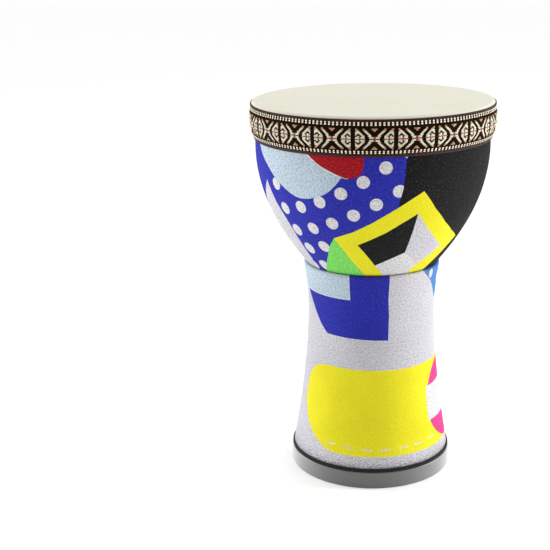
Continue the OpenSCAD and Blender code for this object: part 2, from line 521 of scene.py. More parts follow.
    for effect, members in (
        ("Weave and nap", (warp, weft, crossing, nap, relief, filled, bump)),
        # The ink frame also holds the painted hollow shade
        ("Ink", (ink, fleck_noise, flecks, worn, dye_noise, dye, painted_hollow_shade, painted_shade_under_film, depth,
                 cloth_colour)),
        ("Darker lower edge", (height, lower_edge_ramp, lower_edge_speckle, ramp_plus_speckle, lower_edge_dark_share, covered)),
    ):
        group = nodes.new("NodeFrame")
        group.label = effect
        for node in members:
            node.parent = group
    set_out(nodes, links)
    return material


def woven_yarn(name, roughness, specular, fibre_pitch, fibre_strength):
    """Yarn or dense ground weave: colour from the mesh, fine twist along each thread from its UV map."""
    material, nodes, links = new_material(name)

    colour = nodes.new("ShaderNodeAttribute")
    colour.label = "Yarn colour"
    colour.attribute_name = "yarn"

    thread_map = nodes.new("ShaderNodeUVMap")
    thread_map.label = "Along and across the thread"
    thread_map.uv_map = "cloth"

    twist = nodes.new("ShaderNodeTexWave")
    twist.label = "Twist of the filaments"
    twist.wave_type = "BANDS"
    twist.bands_direction = "DIAGONAL"
    twist.inputs["Scale"].default_value = 1 / (fibre_pitch * WAVE_TURN)
    twist.inputs["Distortion"].default_value = 1.2
    twist.inputs["Detail"].default_value = 1.5
    links.new(thread_map.outputs["UV"], twist.inputs["Vector"])

    fuzz = nodes.new("ShaderNodeTexNoise")
    fuzz.label = "Uneven yarn"
    fuzz.noise_dimensions = "2D"
    fuzz.inputs["Scale"].default_value = 1 / (0.9 * MM)
    fuzz.inputs["Detail"].default_value = 2.0
    links.new(thread_map.outputs["UV"], fuzz.inputs["Vector"])

    tone = nodes.new("ShaderNodeMapRange")
    tone.label = "Lighter and darker places"
    tone.inputs["To Min"].default_value = 0.86
    tone.inputs["To Max"].default_value = 1.10
    links.new(fuzz.outputs["Fac"], tone.inputs["Value"])

    dyed = nodes.new("ShaderNodeVectorMath")
    dyed.label = "Dyed yarn"
    dyed.operation = "SCALE"
    links.new(colour.outputs["Color"], dyed.inputs["Vector"])
    links.new(tone.outputs["Result"], dyed.inputs["Scale"])

    bump = nodes.new("ShaderNodeBump")
    bump.label = "Relief of the twist"
    bump.inputs["Strength"].default_value = fibre_strength
    bump.inputs["Distance"].default_value = 0.1 * MM
    links.new(twist.outputs["Fac"], bump.inputs["Height"])

    shader = nodes.new("ShaderNodeBsdfPrincipled")
    shader.label = "Yarn"
    shader.inputs["Roughness"].default_value = roughness
    shader.inputs["Specular IOR Level"].default_value = specular
    links.new(dyed.outputs["Vector"], shader.inputs["Base Color"])
    links.new(bump.outputs["Normal"], shader.inputs["Normal"])

    out = nodes.new("ShaderNodeOutputMaterial")
    out.label = "Ribbon"
    links.new(shader.outputs["BSDF"], out.inputs["Surface"])

    for effect, members in (
        ("Twist", (twist, bump)),
        ("Colour", (colour, fuzz, tone, dyed)),
    ):
        group = nodes.new("NodeFrame")
        group.label = effect
        for node in members:
            node.parent = group
    set_out(nodes, links)
    return material


def drum_skin_finish(name, colour):
    """Synthetic drum skin: cream, faintly clouded, with a fine pebbled surface."""
    material, nodes, links = new_material(name)

    place = nodes.new("ShaderNodeTexCoord")
    place.label = "Place on the skin"

    cloud = nodes.new("ShaderNodeTexNoise")
    cloud.label = "Faint clouding"
    cloud.inputs["Scale"].default_value = 1 / (30 * MM)
    cloud.inputs["Detail"].default_value = 4.0
    cloud.inputs["Roughness"].default_value = 0.6
    links.new(place.outputs["Object"], cloud.inputs["Vector"])

    tint = nodes.new("ShaderNodeValToRGB")
    tint.label = "Cream, slightly warmer in places"
    tint.color_ramp.elements[0].position = 0.30
    warmer = (colour[0] * 0.955, colour[1] * 0.945, colour[2] * 0.90, 1)
    tint.color_ramp.elements[0].color = warmer
    tint.color_ramp.elements[1].position = 0.72
    tint.color_ramp.elements[1].color = (*colour, 1)
    links.new(cloud.outputs["Fac"], tint.inputs["Fac"])

    fibre = nodes.new("ShaderNodeTexNoise")
    fibre.label = "Short fibres in the skin"
    fibre.inputs["Scale"].default_value = 1 / (2.2 * MM)
    fibre.inputs["Detail"].default_value = 5.0
    fibre.inputs["Roughness"].default_value = 0.7
    links.new(place.outputs["Object"], fibre.inputs["Vector"])

    speck = nodes.new("ShaderNodeMapRange")
    speck.label = "Fibres show a little"
    speck.inputs["From Min"].default_value = 0.25
    speck.inputs["From Max"].default_value = 0.75
    speck.inputs["To Min"].default_value = 0.965
    speck.inputs["To Max"].default_value = 1.02
    links.new(fibre.outputs["Fac"], speck.inputs["Value"])

    skin_colour = nodes.new("ShaderNodeVectorMath")
    skin_colour.label = "Skin colour"
    skin_colour.operation = "SCALE"
    links.new(tint.outputs["Color"], skin_colour.inputs["Vector"])
    links.new(speck.outputs["Result"], skin_colour.inputs["Scale"])

    pebble = nodes.new("ShaderNodeTexVoronoi")
    pebble.label = "Pebbled surface"
    pebble.feature = "SMOOTH_F1"
    pebble.inputs["Scale"].default_value = 1 / (1.1 * MM)
    links.new(place.outputs["Object"], pebble.inputs["Vector"])

    bump = nodes.new("ShaderNodeBump")
    bump.label = "Fine grain"
    bump.inputs["Strength"].default_value = 0.35
    bump.inputs["Distance"].default_value = 0.05 * MM
    links.new(pebble.outputs["Distance"], bump.inputs["Height"])

    shader = nodes.new("ShaderNodeBsdfPrincipled")
    shader.label = "Skin"
    shader.inputs["Roughness"].default_value = 0.55
    shader.inputs["Specular IOR Level"].default_value = 0.35
    shader.inputs["Subsurface Weight"].default_value = 0.08
    shader.inputs["Subsurface Scale"].default_value = 1.0 * MM
    links.new(skin_colour.outputs["Vector"], shader.inputs["Base Color"])
    links.new(bump.outputs["Normal"], shader.inputs["Normal"])

    out = nodes.new("ShaderNodeOutputMaterial")
    out.label = "Drum skin"
    links.new(shader.outputs["BSDF"], out.inputs["Surface"])

    for effect, members in (
        ("Colour", (cloud, tint, fibre, speck, skin_colour)),
        ("Grain", (pebble, bump)),
    ):
        group = nodes.new("NodeFrame")
        group.label = effect
        for node in members:
            node.parent = group
    set_out(nodes, links)
    return material


def moulded(name, colour, grain, roughness, specular, sheen):
    """Moulded rubber or plastic with handling marks and a spark-eroded grain."""
    material, nodes, links = new_material(name)

    place = nodes.new("ShaderNodeTexCoord")
    place.label = "Place on the moulding"

    tone = nodes.new("ShaderNodeRGB")
    tone.label = "Colour of the moulding"
    tone.outputs["Color"].default_value = (*colour, 1)

    haze = nodes.new("ShaderNodeTexNoise")
    haze.label = "Handling marks"
    haze.inputs["Scale"].default_value = 1 / (14 * MM)
    haze.inputs["Detail"].default_value = 6.0
    haze.inputs["Roughness"].default_value = 0.65
    links.new(place.outputs["Object"], haze.inputs["Vector"])

    marks = nodes.new("ShaderNodeMapRange")
    marks.label = "Marks lighten it a little"
    marks.inputs["From Min"].default_value = 0.35
    marks.inputs["From Max"].default_value = 0.75
    marks.inputs["To Min"].default_value = 0.88
    marks.inputs["To Max"].default_value = 1.18
    links.new(haze.outputs["Fac"], marks.inputs["Value"])

    marked = nodes.new("ShaderNodeVectorMath")
    marked.label = "Marked colour"
    marked.operation = "SCALE"
    links.new(tone.outputs["Color"], marked.inputs["Vector"])
    links.new(marks.outputs["Result"], marked.inputs["Scale"])

    gloss = nodes.new("ShaderNodeMapRange")
    gloss.label = "Marks are duller"
    gloss.inputs["To Min"].default_value = roughness - 0.07
    gloss.inputs["To Max"].default_value = roughness + 0.10
    links.new(haze.outputs["Fac"], gloss.inputs["Value"])

    spark = nodes.new("ShaderNodeTexNoise")
    spark.label = "Grain of the mould"
    spark.inputs["Scale"].default_value = 1 / grain
    spark.inputs["Detail"].default_value = 2.0
    links.new(place.outputs["Object"], spark.inputs["Vector"])

    bump = nodes.new("ShaderNodeBump")
    bump.label = "Grain relief"
    bump.inputs["Strength"].default_value = 0.30
    bump.inputs["Distance"].default_value = 0.06 * MM
    links.new(spark.outputs["Fac"], bump.inputs["Height"])

    shader = nodes.new("ShaderNodeBsdfPrincipled")
    shader.label = "Moulding"
    shader.inputs["Specular IOR Level"].default_value = specular
    shader.inputs["Sheen Weight"].default_value = sheen
    shader.inputs["Sheen Roughness"].default_value = 0.55
    links.new(marked.outputs["Vector"], shader.inputs["Base Color"])
    links.new(gloss.outputs["Result"], shader.inputs["Roughness"])
    links.new(bump.outputs["Normal"], shader.inputs["Normal"])

    out = nodes.new("ShaderNodeOutputMaterial")
    out.label = "Moulded piece"
    links.new(shader.outputs["BSDF"], out.inputs["Surface"])

    for effect, members in (
        ("Colour", (tone, haze, marks, marked)),
        ("Surface", (gloss, spark, bump)),
    ):
        group = nodes.new("NodeFrame")
        group.label = effect
        for node in members:
            node.parent = group
    set_out(nodes, links)
    return material


def bent_ply(name, colour):
    """Bent wood of the hoop, with light and dark grain that runs round it."""
    material, nodes, links = new_material(name)

    place = nodes.new("ShaderNodeTexCoord")
    place.label = "Place on the hoop"

    grain_map = nodes.new("ShaderNodeMapping")
    grain_map.label = "Grain runs round the hoop"
    grain_map.inputs["Scale"].default_value = (18, 18, 900)
    links.new(place.outputs["Object"], grain_map.inputs["Vector"])

    grain = nodes.new("ShaderNodeTexNoise")
    grain.label = "Wood grain"
    grain.inputs["Detail"].default_value = 5.0
    links.new(grain_map.outputs["Vector"], grain.inputs["Vector"])

    tint = nodes.new("ShaderNodeValToRGB")
    tint.label = "Light and dark grain"
    darker = (colour[0] * 0.6, colour[1] * 0.55, colour[2] * 0.5, 1)
    tint.color_ramp.elements[0].color = darker
    tint.color_ramp.elements[1].color = (*colour, 1)
    links.new(grain.outputs["Fac"], tint.inputs["Fac"])

    bump = nodes.new("ShaderNodeBump")
    bump.label = "Raised grain"
    bump.inputs["Distance"].default_value = 0.05 * MM
    links.new(grain.outputs["Fac"], bump.inputs["Height"])

    shader = nodes.new("ShaderNodeBsdfPrincipled")
    shader.label = "Plain wood"
    shader.inputs["Roughness"].default_value = 0.7
    links.new(tint.outputs["Color"], shader.inputs["Base Color"])
    links.new(bump.outputs["Normal"], shader.inputs["Normal"])

    out = nodes.new("ShaderNodeOutputMaterial")
    out.label = "Hoop"
    links.new(shader.outputs["BSDF"], out.inputs["Surface"])

    group = nodes.new("NodeFrame")
    group.label = "Grain"
    for node in (grain_map, grain, tint, bump):
        node.parent = group
    set_out(nodes, links)
    return material


def pale_floor(name, colour):
    """Matt studio floor with a very faint mottle."""
    material, nodes, links = new_material(name)

    place = nodes.new("ShaderNodeTexCoord")
    place.label = "Place on the floor"

    mottle = nodes.new("ShaderNodeTexNoise")
    mottle.label = "Very faint mottle"
    mottle.inputs["Scale"].default_value = 6
    links.new(place.outputs["Object"], mottle.inputs["Vector"])

    tint = nodes.new("ShaderNodeValToRGB")
    tint.label = "Floor colour"
    tint.color_ramp.elements[0].color = (*[c * 0.99 for c in colour], 1)
    tint.color_ramp.elements[1].color = (*colour, 1)
    links.new(mottle.outputs["Fac"], tint.inputs["Fac"])

    shader = nodes.new("ShaderNodeBsdfPrincipled")
    shader.label = "Floor"
    shader.inputs["Roughness"].default_value = 0.8
    shader.inputs["Specular IOR Level"].default_value = 0.1
    links.new(tint.outputs["Color"], shader.inputs["Base Color"])

    out = nodes.new("ShaderNodeOutputMaterial")
    out.label = "Floor"
    links.new(shader.outputs["BSDF"], out.inputs["Surface"])

    group = nodes.new("NodeFrame")
    group.label = "Mottle"
    for node in (mottle, tint):
        node.parent = group
    set_out(nodes, links)
    return material


# ---------------------------------------------------------------- print on the cloth

def smooth_loop(points, steps=6):
    """A closed smooth curve through the points (Catmull-Rom)."""
    n = len(points)
    out = []
    for i in range(n):
        a, b, c, d = (Vector(points[(i + k - 1) % n]) for k in range(4))
        for j in range(steps):
            t = j / steps
            out.append(tuple(0.5 * (2 * b + (c - a) * t + (2 * a - 5 * b + 4 * c - d) * t * t
                                    + (3 * b - a - 3 * c + d) * t ** 3)))
    return out


def disc(angle, z, half_angle, half_height, n=40):
    """An ellipse in degrees and metres, which is round on the cloth."""
    turns = [2 * math.pi * k / n for k in range(n)]
    return [(angle + half_angle * math.cos(t), z + half_height * math.sin(t)) for t in turns]


def band_of(angle_a, angle_b, z_a, z_b):
    return [(angle_a, z_a), (angle_b, z_a), (angle_b, z_b), (angle_a, z_b)]


def in_mm(points):
    return [(angle, z * MM) for angle, z in points]


def dotted_rows(first, count, low_z, tilt, bend, from_angle):
    """Centres of one row of dots, a fixed distance apart along a bent line round the bowl."""
    pitch = 22 * MM
    angle, found = first, []
    for _ in range(count):
        t = angle - from_angle
        z = (low_z + tilt * t + bend * t * t) * MM
        found.append((angle, z))
        rise = (tilt + 2 * bend * t) * MM
        slope = (bowl_radius(z + MM) - bowl_radius(z - MM)) / (2 * MM)
        run = math.hypot(math.radians(1) * bowl_radius(z), rise * math.hypot(1, slope))
        angle -= pitch / run
    return found


def bowl_print():
    """The bowl's shapes from the lowest ink to the highest: (ink, outline in degrees and metres)."""
    dot_r, lowest_dot = 5.4 * MM, 196 * MM
    low_row = dotted_rows(first=12.8, count=7, low_z=229.8, tilt=0.08, bend=0.0072, from_angle=-60)
    dots = dotted_rows(first=6.3, count=7, low_z=249.5, tilt=0.08, bend=0.0088, from_angle=-60) + low_row
    for beyond, aside, down in ((4, 3.2, 17 * MM), (5, 8.5, 33.5 * MM)):  # two short rows under the low one
        dots += [(a + aside, z - down) for a, z in low_row[beyond:]]
    dots += [(-53, 272 * MM)]
    shapes = [("white", disc(a, z, math.degrees(dot_r / bowl_radius(z)), dot_r, n=20))
              for a, z in dots if z > lowest_dot]
    shapes += [
        ("lilac", in_mm([(-62.5, 273), (-58, 255), (-54, 243), (-51.5, 232), (-50, 218), (-49, 203),
                         (-53, 195), (-58, 186), (-118, 186), (-104, 205), (-90, 225), (-78, 245)])),
        ("pale", smooth_loop(in_mm([(-68, 306), (-65.5, 296), (-57.5, 284), (-49.5, 273), (-37, 263.8),
                                    (-23, 269.5), (-14.5, 283.5), (-11.5, 296), (-14, 312), (-60, 316)]))),
        ("white", smooth_loop(in_mm([(-32, 308), (-27.8, 296.8), (-19.2, 288.4), (-12, 284.2),
                                     (-9, 286), (-6, 292), (-7, 308)]))),
        ("red", smooth_loop(in_mm([(-31, 308), (-27, 297), (-18.5, 289), (-10.5, 284.3),
                                   (-5, 288.5), (-3.8, 296), (-6, 308)]))),
        ("black", in_mm([(16.3, 312), (15.3, 290), (14.6, 276), (13, 262), (20, 240), (40, 205), (48, 186),
                         (68, 186), (78, 200), (94, 216), (108, 240), (116, 275), (112, 312)])),
        ("white", in_mm([(12.6, 303.8), (16.4, 303.4), (16.0, 300.6)])),
        ("green", in_mm([(-21.5, 230), (-26, 221), (-30, 211), (-35, 201.5), (-44, 186), (-3, 186),
                         (-13, 207)])),
        ("yellow", in_mm([(-21.5, 230), (-10, 237), (0, 245.8), (10, 256.3), (20, 267.2), (25, 272.5),
                          (33, 256), (42.5, 241.5), (52, 231), (63.5, 222), (60, 214), (56, 205),
                          (51, 195), (47, 186), (-2.5, 186), (-13, 207)])),
        ("black", in_mm([(-8, 224.5), (0, 230.5), (8, 237), (16, 245.5), (23.5, 253), (21.5, 216),
                         (2.5, 203.5)])),
        ("lilac", in_mm([(23.5, 253), (30, 240.5), (38, 228.5), (49, 217), (42, 208), (35, 201),
                         (21.5, 216)])),
        ("white", in_mm([(2.5, 203.5), (21.5, 216), (35, 201), (28.5, 186), (13.8, 186)])),
        # the back of the bowl
        ("pale", disc(158, 286 * MM, 27, 46 * MM)),
        ("red", in_mm([(150, 312), (190, 312), (178, 262)])),
        ("yellow", in_mm([(196, 186), (214, 186), (246, 312), (228, 312)])),
        ("green", disc(146, 205 * MM, 26, 24 * MM)),
        ("black", disc(216, 250 * MM, 15, 24 * MM)),
        ("white", disc(216, 250 * MM, 8, 13 * MM)),
    ]
    return shapes


def stem_print():
    """The stem's shapes from the lowest ink to the highest."""
    top = 200  # in mm, above the cloth's edge
    shapes = [
        ("white", in_mm([(-18.2, top), (16.0, top), (15.5, 170), (16.5, 155), (15.8, 132.0), (-42.3, 134.0),
                         (-50.5, 141), (-60.5, 152.5), (-67.5, 161.5), (-73, 168), (-19.6, 168.9)])),
        ("blue", in_mm([(-17.6, top), (15.5, top), (15, 170), (16, 155), (15.3, 132.6), (-42, 134.7),
                        (-50, 141.7), (-60, 153.2), (-67, 162.2), (-72, 168.7), (-19, 169.5)])),
        ("white", in_mm(band_of(-112, -18.0, 168.8, top))),
        ("pale", in_mm(band_of(-111, -18.6, 169.6, top))),
        ("sky", in_mm([(46, top), (50, 189), (56, 184), (62, 178.5), (68, 171), (75, 162), (92, 150),
                        (112, 158), (112, top)])),
        ("white", disc(60, 186.5 * MM, 3.0, 4.4 * MM, n=24)),
        ("white", disc(80, 178 * MM, 3.4, 4.6 * MM, n=24)),
        ("yellow", smooth_loop(in_mm([(-66, 68), (-65.5, 80), (-62.5, 92), (-55, 101), (-44, 105.3),
                                      (-30, 106), (20, 105.6), (70, 105.5), (96, 104), (108, 92),
                                      (112, 68), (108, 42), (94, 31), (70, 28.5), (20, 28.5), (-24, 28.8),
                                      (-37, 31.5), (-50, 40.5), (-60, 53)]), steps=5)),
        ("pink", disc(85, 66 * MM, 32, 38 * MM)),
        ("white", in_mm([(53.5, 51.5), (84, 51.5), (116.5, 51.5), (116.8, 67), (116.5, 83), (84, 83),
                         (53.5, 83), (53.2, 67)])),
    ]
    dashes = [(-31.5, 36.6), (-16.5, 35.2), (-2.5, 34.4), (11.7, 34.3), (26, 34.7), (39.5, 35.4), (54, 36.4)]
    dash_w, dash_h, tilt = 4, 0.6, 0.35  # half a dash in degrees and in mm, and its rise away from the front
    for a, z in dashes:
        left, right = z + tilt * (a < 0), z + tilt * (a > 0)
        shapes.append(("white", in_mm([(a - dash_w, left - dash_h), (a + dash_w, right - dash_h),
                                       (a + dash_w, right + dash_h), (a - dash_w, left + dash_h)])))
    shapes += [
        # the back of the stem
        ("red", disc(178, 160 * MM, 24, 25 * MM)),
        ("lilac", in_mm(band_of(150, 206, 156.5, 163.5))),
        ("green", in_mm([(196, 60), (236, 60), (236, 118), (216, 128), (196, 118)])),
        ("black", in_mm([(128, 30), (176, 30), (152, 92)])),
        ("white", in_mm([(141, 38), (163, 38), (152, 66)])),
        ("pale", in_mm(band_of(124, 182, 112, 124))),
        ("pink", disc(234, 150 * MM, 12, 13 * MM)),
    ]
    return shapes


def wrapped(points, low, high):
    """Copies of an outline that fall inside the cloth's range of angles, clipped by whole turns."""
    angles = [a for a, _ in points]
    return [
        [(a + turn, z) for a, z in points]
        for turn in (-360, 0, 360)
        if max(angles) + turn > low and min(angles) + turn < high
    ]


def clipped(points, low, high, bottom, top):
    """The outline cut to a rectangle of angles and heights (Sutherland-Hodgman)."""
    for axis, limit, sign in ((0, low, 1), (0, high, -1), (1, bottom, 1), (1, top, -1)):
        out = []
        for i, here in enumerate(points):
            last = points[i - 1]
            inside, was_inside = sign * (here[axis] - limit) >= 0, sign * (last[axis] - limit) >= 0
            if inside != was_inside:
                t = (limit - last[axis]) / (here[axis] - last[axis])
                out.append(tuple(last[k] + t * (here[k] - last[k]) for k in (0, 1)))
            if inside:
                out.append(here)
        points = out
    return points


def densified(points, step_angle, step_z):
    """The outline with points added so that no edge is longer than about one step."""
    out = []
    for i, here in enumerate(points):
        there = points[(i + 1) % len(points)]
        n = max(1, math.ceil(max(abs(there[0] - here[0]) / step_angle, abs(there[1] - here[1]) / step_z)))
        out += [(here[0] + (there[0] - here[0]) * k / n, here[1] + (there[1] - here[1]) * k / n)
                for k in range(n)]
    return out


def cloth_mesh(name, shapes, base, low, high, bottom, top, place, mean_r, step):
    """A sheet cut into the print's own regions. place(angle, z) puts a point of it on the drum."""
    per_degree = math.radians(mean_r)
    coords, faces, inks = [], [], []

    def add_region(ink, outline):
        turn = sum(a[0] * b[1] - b[0] * a[1] for a, b in zip(outline, outline[1:] + outline[:1]))
        if turn < 0:
            outline = outline[::-1]
        start = len(coords)
        coords.extend(Vector((a * per_degree, z)) for a, z in outline)
        faces.append(list(range(start, len(coords))))
        inks.append(ink)

    step_angle = step / per_degree
    border = [(low, bottom), (high, bottom), (high, top), (low, top)]
    add_region(base, densified(border, step_angle, step))
    for ink, outline in shapes:
        for copy in wrapped(outline, low, high):
            piece = clipped(densified(copy, step_angle, step), low, high, bottom, top)
            if len(piece) > 2:
                add_region(ink, piece)
    columns = round((high - low) / step_angle)
    rows = round((top - bottom) / step)
    coords.extend(
        Vector(((low + (high - low) * (i + 0.5 * (j % 2)) / columns) * per_degree,
                bottom + (top - bottom) * j / rows))
        for j in range(1, rows)
        for i in range(1, columns)
    )
    inside_only, weld = 1, 1e-6  # faces only inside the outlines; points this near are one
    flat, _, tris, _, _, sources = delaunay_2d_cdt(coords, [], faces, inside_only, weld)
    ink_set = bpy.context.scene.drum_inks
    colours = {i: (*getattr(ink_set, i), ink_set.thick_film if i == "yellow" else 1) for i in set(inks)}
    return painted_mesh(name, [place(p.x / per_degree, p.y) for p in flat], tris, "ink",
                        [colours[inks[max(source)]] for source in sources], flat)


def lap_rise(angle, ease, lift):
    """How far the last stretch of a wrapped strip stands out, where it lies over its own start."""
    past = min(max((angle - SEAM_ANGLE) / ease + 1, 0), 1)
    return lift * past * past * (3 - 2 * past)


def cloth_rise(angle, level):
    """How far the cloth stands out: a faint ripple in its glue, and its lap at the back."""
    ripple_h, ripple_w, per_degree, lap_ease = 0.12 * MM, 30 * MM, 0.09, 2.0
    ripple = noise.noise(Vector((angle * per_degree, level / ripple_w, 0.5)))
    return ripple_h * ripple + lap_rise(angle, lap_ease, sizes().cloth_t)


def cloth_measure(radius, bottom, top):
    """Length and area of the cloth on a turned side, between two heights."""
    levels = spaced(bottom, top, 40)
    length = area = 0
    for a, b in zip(levels, levels[1:]):
        run = math.hypot(radius(b) - radius(a), b - a)
        length += run
        area += math.pi * (radius(a) + radius(b)) * run
    return length, area


# ---------------------------------------------------------------- ribbon

# A quarter of the ribbon's repeat, from its upper edge down to the middle line and from the middle of
# a cross to half a repeat away: c is a cream yarn, t tan, p plum, and a dot is the dark ground.
RIBBON_DRAFT = (
    "ttt......tt.....tt..",
    "tt......ttt....ttt..",
    "t......ccc....ccc...",
    "......ccc....ccccc..",
    ".....ccc....cccccc..",
    "....ccc....ccc..cc..",
    "...ccc....ccc....c..",
    "...ccc...ccc..cc....",
    "pcccc....cccc.cccc..",
    "pcccc....ccccpcccc..",
    "pp......pppppppppp..",
)
YARNS = {"c": "cream", "t": "tan", "p": "plum"}
COLUMN = 0.4575  # degrees that one yarn column takes
ROW_H = 0.8 * MM  # height of one row of the draft
MIDDLE_Z = 317.25 * MM  # level of the ribbon's middle line
LONGEST_FLOAT = 8  # columns that a yarn crosses before it goes down into the ground
FIRST_CROSS = 1.0  # degrees at which a cross stands
# Rows of yarn along the ribbon's edges, as (level, height) in mm: maroon ones, and cream ticks
MAROON_ROWS = ((332.5, 1.0), (331.45, 1.1), (304.4, 1.2), (302.9, 2.0))
TICK_ROWS = ((330.05, 1.6), (328.45, 1.6), (307.2, 1.4), (305.8, 1.4))
TICK_PITCH, TICK_W = 4, 2  # columns from one tick to the next, and columns across one
RIBBON_LAP_EASE = 1.6  # degrees over which the ribbon's end climbs onto its start


def ribbon_point(angle, level, out):
    """A point on the ribbon, out from the skin: level is a height, and runs on round the shoulder."""
    s = sizes()
    past = level - shoulder_z()
    if past > 0:
        turn = past / (s.shoulder_r + s.ribbon_base_t + s.yarn_rise)
        r = s.shoulder_r + out
        return around(s.head_r + r * math.cos(turn), shoulder_z() + r * math.sin(turn), angle)
    return around(collar_radius(level) + out, level, angle)


def ribbon_top():
    """The level of the ribbon's upper edge."""
    wrap = 2.0 * MM  # how far it goes on round the shoulder
    return shoulder_z() + wrap


def ribbon_ground(lap_angle):
    """The ribbon's ground weave as a strip, with its maroon edges."""
    s = sizes()
    finish = bpy.context.scene.drum_finishes
    ground = s.ribbon_base_t
    columns, rows = 260, 20
    angles = spaced(-SEAM_ANGLE, SEAM_ANGLE + lap_angle, columns)
    levels = spaced(bowl_z(), ribbon_top(), rows)
    points = [ribbon_point(a, z, ground + lap_rise(a, RIBBON_LAP_EASE, ground))
              for a in angles for z in levels]
    corners = [i * (rows + 1) + j for i in range(columns) for j in range(rows)]
    faces = [(c, c + rows + 1, c + rows + 2, c + 1) for c in corners]
    colours = [(*(finish.maroon if row in (0, rows - 1) else finish.ground), 1)
               for _ in range(columns) for row in range(rows)]
    lie = [(math.radians(a) * s.belly_r, z) for a in angles for z in levels]
    return painted_mesh("ribbon_ground", points, faces, "yarn", colours, lie)


def draft_floats(last_column):
    """Every pattern yarn that floats over the ground: (yarn, first column, end column, level, height)."""
    width, depth = len(RIBBON_DRAFT[0]), len(RIBBON_DRAFT)
    floats = []
    for row in range(1 - depth, depth):
        draft = RIBBON_DRAFT[depth - 1 - abs(row)]
        run_start, run_yarn = -last_column, None
        for column in range(-last_column, last_column + 1):
            phase = column % (2 * width)
            cell = draft[min(phase, 2 * width - 1 - phase)]
            if cell != run_yarn or column - run_start >= LONGEST_FLOAT or column == last_column:
                if run_yarn in YARNS:
                    floats.append((YARNS[run_yarn], run_start, column, MIDDLE_Z + row * ROW_H, ROW_H))
                run_start, run_yarn = column, cell
    for column in range(-last_column, last_column):
        floats += [("maroon", column, column + 1, level * MM, height * MM) for level, height in MAROON_ROWS]
        if column % TICK_PITCH == 0:
            floats += [("cream", column, column + TICK_W, level * MM, height * MM)
                       for level, height in TICK_ROWS]
    return floats


def yarn_floats():
    """Closed pillows for the pattern yarns, which stand a little above the ribbon's ground."""
    s = sizes()
    finish = bpy.context.scene.drum_finishes
    ground = s.ribbon_base_t
    seam_gap = 0.5  # degrees left free at the seam
    darkest, spread = 0.92, 0.16  # tone of one yarn against the next
    gap, end_rise, end_half, half, sunk = 0.06, 0.25, 0.36, 0.47, -0.1  # a pillow's shares of its cell
    points, faces, colours = [], [], []
    noise.seed_set(7)
    last_column = int((SEAM_ANGLE - seam_gap) / COLUMN)
    for yarn, start, end, level, height in draft_floats(last_column):
        base = len(points)
        tone = darkest + spread * noise.random()
        colour = (*[c * tone for c in getattr(finish, yarn)], 1)
        tip = 0.33 if end - start == 1 else 0.5
        for column, rise, wide in ((start + gap, end_rise, end_half), (start + tip, 1, half),
                                   (end - tip, 1, half), (end - gap, end_rise, end_half)):
            angle = FIRST_CROSS + column * COLUMN
            lift = lap_rise(angle, RIBBON_LAP_EASE, ground)
            for across, up in ((-wide, sunk), (0, rise), (wide, sunk)):
                points.append((angle, level + across * height, ground + lift + s.yarn_rise * up))
        for k in range(3):
            a, b = base + 3 * k, base + 3 * k + 3
            faces += [(a, b, b + 1, a + 1), (a + 1, b + 1, b + 2, a + 2), (a, a + 2, b + 2, b)]
        faces += [(base, base + 1, base + 2), (base + 9, base + 11, base + 10)]
        colours += [colour] * (len(faces) - len(colours))
    lie = [(math.radians(angle) * s.belly_r, level) for angle, level, _ in points]
    return painted_mesh("ribbon_yarns", [ribbon_point(*p) for p in points], faces, "yarn", colours, lie)


# ---------------------------------------------------------------- operators

